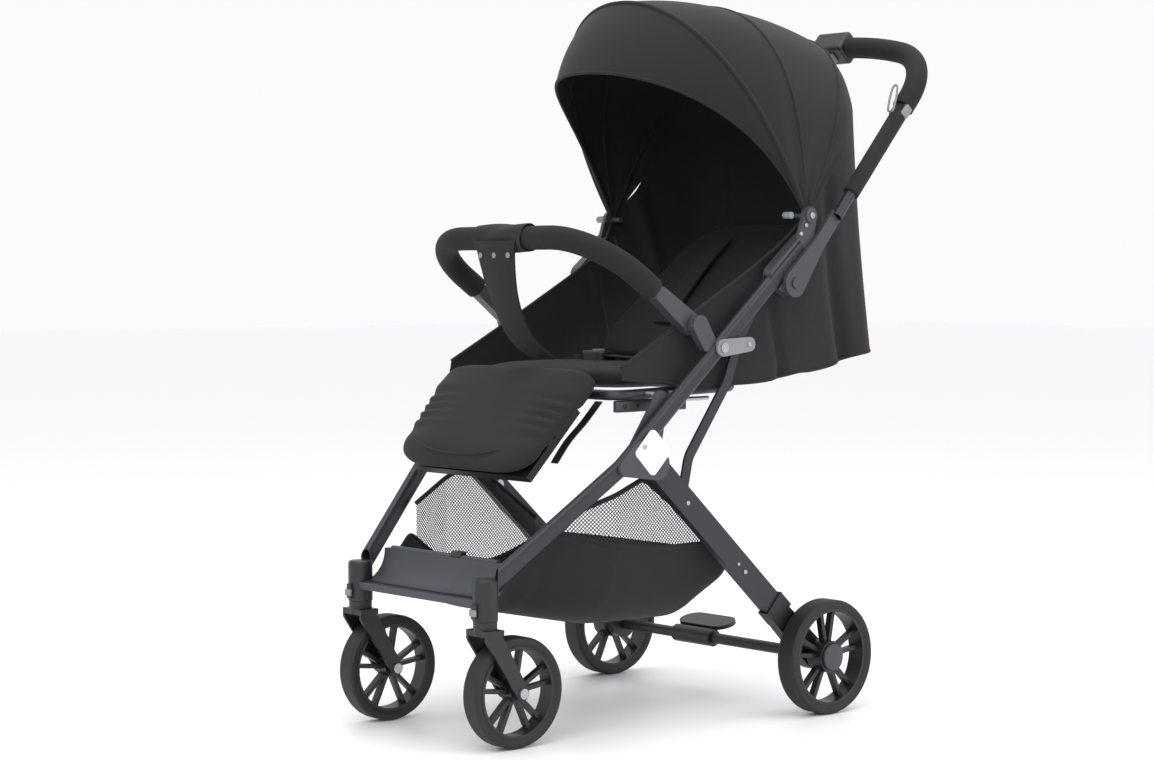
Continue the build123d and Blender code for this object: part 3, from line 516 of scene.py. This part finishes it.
@dataclass
class Enclosure:
    """Fabric walls round the seat, from the front of the seat to the rear wall.

    Args:
        shop: makes the pieces.
        canopy: the hood that the rear wall hangs from.
        half: half width of the lower edge.
        rear_y: the rear wall.
        low_z: height of its lower edge.
        corner: radius of its lower corners.
        turn: share of the edge, from the middle of the rear, where the side line starts.
        hem_slope: fall of the lower edge along the flank.
        low_side: the lower edge along the seat, front to rear.
        high_side: the upper edge, from the canopy pin to the front.
        pleats: (y at the hem, depth, width) of each pleat.
    """

    shop: Workshop
    canopy: Canopy
    half: float = 0.187
    rear_y: float = 0.305
    low_z: float = 0.518
    corner: float = 0.035
    turn: float = 0.52
    hem_slope: float = 0.19
    low_side: tuple[tuple[float, float], ...] = (
        (-0.205, 0.49), (-0.059, 0.472), (0.058, 0.479), (0.15, 0.489))
    high_side: tuple[tuple[float, float, float], ...] = (
        (0.206, *CANOPY_PIN), (0.186, 0.076, 0.655), (0.182, -0.05, 0.583), (0.184, -0.205, 0.5))
    pleats: tuple[tuple[float, float, float], ...] = ((0.235, 0.016, 0.014), (0.1, 0.009, 0.009))

    def low(self, s: float) -> Vector:
        """Lower edge, s from 0 at the middle of the rear wall to 1 at the seat's front."""
        if s >= self.turn:
            side = [(self.half, y, z) for y, z in self.low_side]
            return along(side, 1 - (s - self.turn) / (1 - self.turn))
        t = s / self.turn
        back, flank = self.half, self.rear_y - self.low_side[-1][0]
        gone = t * (back + flank)
        if gone < back - self.corner:
            return Vector((gone, self.rear_y, self.low_z))
        if gone > back + self.corner:
            y = self.rear_y - (gone - back)
            return Vector((self.half, y, self.low_z - (self.rear_y - y) * self.hem_slope))
        w = (gone - back + self.corner) / (2 * self.corner) * math.pi / 2
        r = self.corner
        return Vector((back - r + r * math.sin(w), self.rear_y - r + r * math.cos(w),
                       self.low_z - self.hem_slope * r * (1 - math.cos(w))))

    def high(self, s: float) -> Vector:
        """Upper edge: along the side tubes, then over the canopy's rear edge."""
        if s >= self.turn:
            return along(self.high_side, (s - self.turn) / (1 - self.turn))
        return self.canopy.rear_edge.point(0.5 - 0.5 * s / self.turn)

    def form(self, u: float, v: float) -> Vector:
        """Point of the walls, with pleats behind the side tubes and a scalloped hem."""
        s, sign = abs(2 * u - 1), (1 if u < 0.5 else -1)
        low, high = self.low(s), self.high(s)
        at = low.lerp(high, v)
        waist = 0.012 * math.sin(math.pi * v) * (1 - abs(s - 0.35) / 0.65)
        at.x -= waist * 0.4 * (1 if s > 0.2 else 0)
        for line, depth, wide in self.pleats:
            slant = line - 0.25 * max(0.0, at.z - 0.5)
            near = (at.y - slant) / wide
            if s > 0.2:
                at.x -= depth * math.exp(-near * near) * (1 - 0.7 * v)
        at.z -= 0.004 * abs(math.sin(at.y * 24)) * (1 - v) ** 3
        return Vector((at.x * sign, at.y, at.z))

    def build(self) -> None:
        """Make the walls and their bound edges."""
        walls, flat, area = self.shop.formed("seat_walls", 260, 44, self.form, CLOTH, FABRIC, "frame")
        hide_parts("seat_enclosure")
        bound = (1 - self.turn) / 2
        for word, start, sign in (("left", 0.0, 1), ("right", 1.0, -1)):
            edge = [self.form(start + sign * bound * i / 24, 1.0) for i in range(25)]
            self.shop.cord(f"{word}_wall_binding", edge, 2.6 * MM, FABRIC, "frame")
        hem = [self.form(i / 90, 0.0) for i in range(91)]
        self.shop.cord("wall_hem", hem, 2.4 * MM, FABRIC, "frame")


@dataclass
class Seat:
    """Seat, backrest and calf cushions, with the harness straps.

    Args:
        shop: makes the pieces.
        front: middle of the seat's front edge, where the calf rest hangs.
        rear: middle of the backrest's hinge.
        calf_slope: slope of the calf rest in degrees.
        back_slope: slope of the backrest in degrees.
        strap_w: width of the waist straps.
        shoulder_w: width of the shoulder straps.
        tail_w: width of the loose strap end.
    """

    shop: Workshop
    front: tuple[float, float, float] = (0.0, -0.205, 0.463)
    rear: tuple[float, float, float] = (0.0, 0.02, 0.469)
    calf_slope: float = 46.0
    back_slope: float = 38.0
    strap_w: float = 0.025
    shoulder_w: float = 0.036
    tail_w: float = 0.014

    def on_back(self, x: float, along_back: float, above: float) -> tuple[float, float, float]:
        """Point above the backrest's plane."""
        y, z = lean(self.rear[1:], self.back_slope, along_back)
        y, z = lean((y, z), self.back_slope + 90, above)
        return (x, y, z)

    def on_calf(self, x: float, down: float, above: float) -> tuple[float, float, float]:
        """Point above the calf rest's plane."""
        y, z = lean(self.front[1:], 180 + self.calf_slope, down)
        y, z = lean((y, z), 90 + self.calf_slope, above)
        return (x, y, z)

    def build(self) -> None:
        """Make the cushions and the straps."""
        self.cushions()
        self.straps()

    def cushions(self) -> None:
        """Make the three cushions and the calf cushion's seam."""
        low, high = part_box("seat_pad")
        middle, half = (0, (low[1] + high[1]) / 2, (low[2] + high[2]) / 2), (high[1] - low[1]) / 2
        seat = self.shop.pad("seat_cushion", middle, 0, (0.167, 5.0), 0.167, 0.0165, (-half, half), 0,
                             "frame", 0.0)
        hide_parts("seat_pad")
        back = self.shop.pad("backrest_cushion", self.rear, self.back_slope, (0.159, 5.0), 0.159, 0.0145,
                             (0.037, 0.345), 0.0195, "backrest", 0.0)
        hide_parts("backrest_pad")
        calf = self.shop.pad("calf_cushion", self.front, self.calf_slope, (0.168, 6.0), 0.139, 0.0185,
                             (-0.165, 0.014), 0.029, "calf_rest", 0.0045)
        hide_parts("calf_pad")
        half_turn = [math.pi * i / 24 for i in range(25)]
        seam = [self.on_calf(0.1375 * math.cos(w), 0.098 + 0.058 * math.sin(w),
                             0.0455 - 0.012 * abs(math.cos(w)) ** 6) for w in half_turn]
        self.shop.cord("calf_seam", seam, 1.4 * MM, FABRIC, "calf_rest")

    def straps(self) -> None:
        """Make the shoulder and waist straps and the loose end at the seat's front."""
        for word, sign in SIDES:
            shoulder = [self.on_back(0.062 * sign * (1 - 0.55 * t), 0.29 - 0.2 * t,
                                     0.0375 + 0.006 * math.sin(math.pi * t))
                        for t in (0, 0.25, 0.5, 0.75, 1)]
            self.shop.webbing(f"{word}_shoulder_strap", shoulder, self.shoulder_w, ACROSS, "backrest", 4 * MM)
            waist = [(0.15 * sign, -0.02, 0.5035), (0.1 * sign, -0.035, 0.5065), (0.05 * sign, -0.065, 0.508),
                     (0.022 * sign, -0.082, 0.511)]
            self.shop.webbing(f"{word}_waist_strap", waist, self.strap_w, Vector((0, 1, 0)), "frame")
        loose = [(0.118, -0.186, 0.452), (0.12, -0.215, 0.425), (0.121, -0.245, 0.4), (0.119, -0.267, 0.372)]
        self.shop.webbing("strap_tail", loose, self.tail_w, ACROSS, "frame")


@dataclass
class BumperCover:
    """Fabric cover at the middle of the bumper bar, with the crotch strip to the seat.

    Args:
        shop: makes the pieces.
        middle: middle of the bar.
        radius: radius of the cover.
        half: half the cover's width.
        strip_line: the crotch strip's middle line, from the cover to the seat.
    """

    shop: Workshop
    middle: tuple[float, float, float] = (0.0, -0.2534, 0.6757)
    radius: float = 0.0188
    half: float = 0.052
    strip_line: tuple[tuple[float, float, float], ...] = (
        (0, -0.2722, 0.672), (0, -0.268, 0.64), (0, -0.255, 0.59), (0, -0.226, 0.538), (0, -0.186, 0.5085))

    def build(self) -> None:
        """Make the cover, the strip and the snaps."""
        def wrap(u: float, v: float) -> Vector:
            turn = 2 * math.pi * u
            r = self.radius + 0.0008 * math.sin(3 * turn + 9 * v)
            return Vector(((v - 0.5) * 2 * self.half, self.middle[1] + r * math.cos(turn),
                           self.middle[2] + r * math.sin(turn)))

        cover, flat, area = self.shop.formed("bumper_cover", 48, 30, wrap, 1.4 * MM, FABRIC, "bumper")

        def strip(u: float, v: float) -> Vector:
            at = along(self.strip_line, v)
            wide = 0.088 - 0.034 * min(1.0, v * 1.7)
            at.x = (u - 0.5) * wide
            at.y -= 0.003 * math.cos(math.pi * (u - 0.5))
            return at

        piece, flat, area = self.shop.formed("crotch_strip", 14, 40, strip, 3 * MM, FABRIC, None)
        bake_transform(piece)
        for count, x in enumerate((-0.03, 0.0, 0.03)):
            self.shop.stud(f"cover_snap_{count + 1}", (x, -0.2745, 0.652), 4 * MM, 2 * MM, "button_grey",
                           "bumper", (math.pi / 2, 0, 0))


@dataclass
class Basket:
    """Hanging basket: net at both sides, a sagging black bag below and bound edges.

    Args:
        shop: makes the pieces.
        front_top: (y, z) of the net's front corner.
        hub: (y, z) of its corner under the hub.
        rear_top: (y, z) of its rear corner.
        exponent: 2 for a round cross section, more for a squarer one.
        half: half width behind the tubes' bend.
        front_half: half width at the front.
        bend_y: where the basket starts to narrow towards the front.
        net_drop: how far the rim sags on the right side.
        ends: y of the front and the rear end.
        rim_line: (y, z) points of the rim.
        bottom_line: (y, z) points of the bag's lowest line.
    """

    shop: Workshop
    front_top: tuple[float, float] = (-0.29, 0.3)
    hub: tuple[float, float] = (-0.165, 0.35)
    rear_top: tuple[float, float] = (-0.045, 0.262)
    exponent: float = 3.4
    half: float = 0.186
    front_half: float = 0.126
    bend_y: float = -0.215
    net_drop: float = 0.055
    ends: tuple[float, float] = (-0.37, 0.007)
    rim_line: tuple[tuple[float, float], ...] = (
        (-0.37, 0.208), (-0.305, 0.287), (-0.216, 0.262), (-0.125, 0.253), (-0.039, 0.254), (0.007, 0.236))
    bottom_line: tuple[tuple[float, float], ...] = (
        (-0.37, 0.198), (-0.318, 0.168), (-0.176, 0.14), (-0.044, 0.137), (0.0, 0.172), (0.007, 0.2))

    def side_x(self, y: float) -> float:
        """Distance of the basket's side from the middle, inside the side tubes."""
        taper = 0.385
        return min(self.half, max(self.front_half, self.half + (y - self.bend_y) * taper))

    def at_length(self, share: float) -> float:
        """The y at a share of the basket's length, from 0 at the front to 1 at the rear."""
        return self.ends[0] + (self.ends[1] - self.ends[0]) * share

    def rim(self, y: float, share: float = 0.0) -> float:
        """Height where net and bag meet, share 0 on the left side and 1 on the right."""
        low, high = self.ends
        drop = self.net_drop * share * math.sin(math.pi * min(1.0, max(0.0, (y - low) / (high - low))))
        return self.read(self.rim_line, y) - drop

    def bottom(self, y: float) -> float:
        """Height of the bag's lowest line."""
        return self.read(self.bottom_line, y)

    @staticmethod
    def read(line: Sequence[tuple[float, float]], y: float) -> float:
        """Height of a line of (y, z) points at y."""
        for (y0, z0), (y1, z1) in zip(line, line[1:]):
            if y <= y1:
                t = max(0.0, (y - y0) / (y1 - y0))
                return z0 + (z1 - z0) * t
        return line[-1][1]

    def section(self, u: float, y: float) -> Vector:
        """Point on the bag's cross section at y, u from the left rim to the right rim."""
        turn = math.pi * u
        side = math.copysign(abs(math.cos(turn)) ** (2 / self.exponent), math.cos(turn))
        drop = abs(math.sin(turn)) ** (2 / self.exponent)
        top = self.rim(y, u)
        narrow = 1 - 0.14 * drop
        return Vector((side * self.side_x(y) * narrow, y, top - (top - self.bottom(y)) * drop))

    def build(self) -> None:
        """Make the bag, its rear wall, the net panels and the bindings."""
        bag, flat, area = self.shop.formed(
            "basket_bag", 64, 56, lambda u, v: self.section(u, self.at_length(v)), CLOTH, FABRIC, "frame")
        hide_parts("basket")

        def rear(u: float, v: float) -> Vector:
            at, rim = self.section(u, self.ends[1]), self.rim(self.ends[1], u)
            return Vector((at.x, at.y + 0.01 * math.sin(math.pi * u) * v, at.z + (rim - at.z) * v))

        wall, flat, area = self.shop.formed("basket_rear_wall", 48, 8, rear, CLOTH, FABRIC, "frame")
        for word, sign in SIDES:
            self.net(word, sign)

    def net(self, word: str, sign: int) -> None:
        """Net panel between the side tube and the rear leg, with its bindings."""
        top = [self.front_top, self.hub, self.rear_top]

        def form(u: float, v: float) -> Vector:
            y = self.front_top[0] + (self.rear_top[0] - self.front_top[0]) * u
            low, high = self.rim(y, 0.0 if sign > 0 else 1.0), self.read(top, y)
            at = Vector((sign * self.side_x(y), y, low + (high - low) * v))
            at.x -= sign * 0.004 * math.sin(math.pi * v) * math.sin(math.pi * u)
            return at

        panel, flat, area = self.shop.formed(
            f"{word}_basket_net", 40, 16, form, 0.8 * MM, "mesh_grey", "frame")
        upper = [form(i / 24, 1.0) for i in range(25)]
        lower = [self.section(0 if sign > 0 else 1, self.at_length(i / 30)) for i in range(31)]
        self.shop.cord(f"{word}_net_binding", upper, 3.4 * MM, FABRIC, "frame")
        self.shop.cord(f"{word}_bag_binding", lower, 3.0 * MM, FABRIC, "frame")


@dataclass(frozen=True)
class Rivet:
    """One rivet head on the left side.

    Args:
        place: its middle.
        radius: its radius in mm.
        body: CAD body it moves with.
    """

    place: tuple[float, float, float]
    radius: float
    body: str


RIVETS = (
    Rivet((0.2225, -0.196, 0.396), 3.5, "frame"),
    Rivet((0.2145, -0.109, 0.315), 3.2, "rear_legs"),
    Rivet((0.2145, 0.001, 0.212), 3.2, "rear_legs"),
    Rivet((0.2145, -0.012, 0.224), 2.4, "rear_legs"),
    Rivet((0.2205, -0.046, 0.525), 4.0, "link_clips"),
    Rivet((0.2205, 0.002, 0.529), 3.4, "link_clips"),
    Rivet((0.2165, 0.118, 0.695), 3.0, "frame"),
    Rivet((0.2165, 0.108, 0.683), 3.0, "frame"),
)


@dataclass
class Hardware:
    """Rivets, screws, clips and the small pieces on the handle."""

    shop: Workshop

    def rivets(self) -> None:
        """Rivets, canopy screws and pegs, rear hub caps and housing tabs of both sides."""
        head = 2.4 * MM
        for word, sign in SIDES:
            for count, rivet in enumerate(RIVETS):
                x, y, z = rivet.place
                self.shop.stud(f"{word}_rivet_{count + 1}", (sign * x, y, z), rivet.radius * MM, head,
                               "steel", rivet.body)
            self.shop.stud(f"{word}_canopy_screw", (sign * 0.2165, *CANOPY_PIN), 11 * MM, 4 * MM,
                           "grey_plastic", "frame")
            self.shop.stud(f"{word}_canopy_screw_head", (sign * 0.219, *CANOPY_PIN), 4.5 * MM, head, "steel",
                           "frame")
            self.shop.stud(f"{word}_canopy_peg", (sign * 0.199, 0.099, 0.709), 5 * MM, 16 * MM,
                           "clip_grey", "frame")
            self.shop.stud(f"{word}_rear_hub_cap", (sign * 0.2465, 0.1452, 0.0815), 19 * MM, 5 * MM,
                           "grey_plastic", f"{word}_rear_wheel")
            low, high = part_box(f"{word}_caster_housing")
            self.shop.block(f"{word}_housing_tab", (sign * 0.1386, low[1] - 0.0005, low[2] + 0.012),
                            (0.012, 0.004, 0.009), "clip_grey", "frame", 1 * MM)

    def handle(self) -> None:
        """Fabric wraps, ring and clip on the handle arms."""
        for word, sign in SIDES:
            x = sign * HANDLE_X
            ends = [(x, *lean(HANDLE_HINGE, HANDLE_SLOPE, r)) for r in (0.17, 0.2, 0.26, 0.31, 0.336)]
            wrap = self.shop.cord(f"{word}_handle_wrap", ends, 0.0125, FABRIC, "handle")
            y, z = lean(HANDLE_HINGE, HANDLE_SLOPE, 0.335)
            self.shop.block(f"{word}_handle_clip", (x, y, z), (0.03, 0.014, 0.03), "clip_grey", "handle",
                            3 * MM, HANDLE_SLOPE - 90)
        y, z = lean(HANDLE_HINGE, HANDLE_SLOPE, 0.33)
        ring = [(HANDLE_X + a, y - 0.022 + b * 0.3, z + b) for a, b in
                ((0.0, 0.0), (0.006, 0.0), (0.006, 0.034), (0.0, 0.04), (-0.006, 0.034), (-0.006, 0.0))]
        self.shop.cord("handle_ring", ring, 1.6 * MM, "clip_grey", "handle", closed=True)


@dataclass
class Underseat:
    """Rails and ratchet brackets under the seat, and the details of the footrest."""

    shop: Workshop

    def build(self) -> None:
        """Make the rails, brackets, footrest groove, its rear edge and its clip."""
        first_hole, pitch, holes = -0.185, 0.024, 5
        for word, sign in SIDES:
            self.shop.stud(f"{word}_seat_rail", (sign * 0.15, -0.095, 0.4525), 3 * MM, 0.17, "steel", "frame",
                           (math.pi / 2, 0, 0))
            self.shop.block(f"{word}_ratchet_bracket", (sign * 0.166, -0.135, 0.4475), (0.008, 0.13, 0.016),
                            "grey_plastic", "frame", 2 * MM)
            for count in range(holes):
                self.shop.stud(f"{word}_ratchet_hole_{count + 1}",
                               (sign * 0.1705, first_hole + pitch * count, 0.4475),
                               3 * MM, 2 * MM, "black_plastic", "frame")
        low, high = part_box("footrest_step")
        half = high[0] - 0.012
        shares = [c / 6 for c in range(-6, 7)]
        groove = [(half * c, low[1] + 0.011 - 0.004 * (1 - c ** 2), low[2] + 0.0135) for c in shares]
        self.shop.cord("footrest_groove", groove, 1.2 * MM, "black_plastic", "frame")
        lip = [(half * c, high[1] - 0.005, high[2] - 0.0005) for c in shares]
        self.shop.cord("footrest_rear_edge", lip, 4.6 * MM, "step_grey", "frame")
        self.shop.block("footrest_clip", (0.03, high[1] - 0.004, high[2] + 0.004), (0.022, 0.012, 0.009),
                        "black_plastic", "frame", 2 * MM)


@dataclass
class Studio:
    """Camera, floor, light and backdrop.

    Args:
        shop: clears the selection.
        eye: place of the camera.
        turn: how far it looks round from +Y towards -X, in radians.
        dip: how far it looks down, in radians.
        lens: its focal length in mm.
    """

    shop: Workshop
    eye: tuple[float, float, float] = (2.6462, -2.4164, 0.6329)
    turn: float = 0.85677
    dip: float = 0.04625
    lens: float = 77.02

    def lamp(self, name: str, at: Sequence[float], size: float, power: float) -> None:
        """Soft square light that looks at the middle of the stroller."""
        bpy.ops.object.light_add(type="AREA", location=at)
        lamp = bpy.context.object
        lamp.name = name
        lamp.data.size = size
        lamp.data.energy = power
        aim = Vector((0, 0, 0.5)) - Vector(at)
        lamp.rotation_euler = aim.to_track_quat("-Z", "Y").to_euler()

    def build(self) -> None:
        """Set up the whole studio."""
        self.shop.fresh()
        self.floor()
        self.light()
        self.camera()

    def floor(self) -> None:
        """Lay the pale floor."""
        bpy.ops.mesh.primitive_plane_add(size=40, location=(0, 0, -0.0005))
        floor = bpy.context.object
        floor.name = "floor"
        made = bpy.data.materials.new("floor_pale")
        made.use_nodes = True
        shader = made.node_tree.nodes["Principled BSDF"]
        shader.inputs["Base Color"].default_value = (0.97, 0.955, 0.972, 1)
        shader.inputs["Roughness"].default_value = 0.45
        floor.data.materials.append(made)

    def light(self) -> None:
        """Set the backdrop, the three lamps and the view transform."""
        world = bpy.context.scene.world or bpy.data.worlds.new("studio")
        bpy.context.scene.world = world
        world.use_nodes = True
        world.node_tree.nodes["Background"].inputs["Color"].default_value = (0.97, 0.965, 0.975, 1)
        world.node_tree.nodes["Background"].inputs["Strength"].default_value = 1.0
        self.lamp("key", (1.5, -2.6, 2.4), 2.2, 40)
        self.lamp("side", (3.0, 0.9, 1.7), 1.8, 22)
        self.lamp("top", (0.0, 0.3, 3.2), 2.6, 45)
        bpy.context.scene.view_settings.view_transform = "Standard"

    def camera(self) -> None:
        """Place the camera in front of the stroller, to its left."""
        level = math.cos(self.dip)
        forward = Vector((-math.sin(self.turn) * level, math.cos(self.turn) * level, -math.sin(self.dip)))
        bpy.ops.object.camera_add(location=self.eye)
        camera = bpy.context.object
        camera.rotation_euler = forward.to_track_quat("-Z", "Y").to_euler()
        camera.data.lens = self.lens
        camera.data.sensor_width = 36
        bpy.context.scene.camera = camera


def dress_frame(shop: Workshop) -> None:
    """Give every CAD piece the finish of its material slot."""
    for part in frame["record"]["subparts"]:
        node = frame["nodes"].get(part["node"])
        if node is None or node.type != "MESH":
            continue
        finish = "step_grey" if part["node"] == "footrest_step" else part["material_slot"]
        finish = "clip_grey" if part["node"] == "link_clips" else finish
        shop.paint(node, finish)


def main() -> None:
    """Build the stroller's cloth, pads and small pieces round the frame."""
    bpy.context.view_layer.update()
    shop = Workshop()
    dress_frame(shop)
    canopy = Canopy(shop)
    canopy.build()
    Enclosure(shop, canopy).build()
    Seat(shop).build()
    BumperCover(shop).build()
    Basket(shop).build()
    hardware = Hardware(shop)
    hardware.rivets()
    hardware.handle()
    Underseat(shop).build()
    Studio(shop).build()


if __name__ == "__main__":
    main()
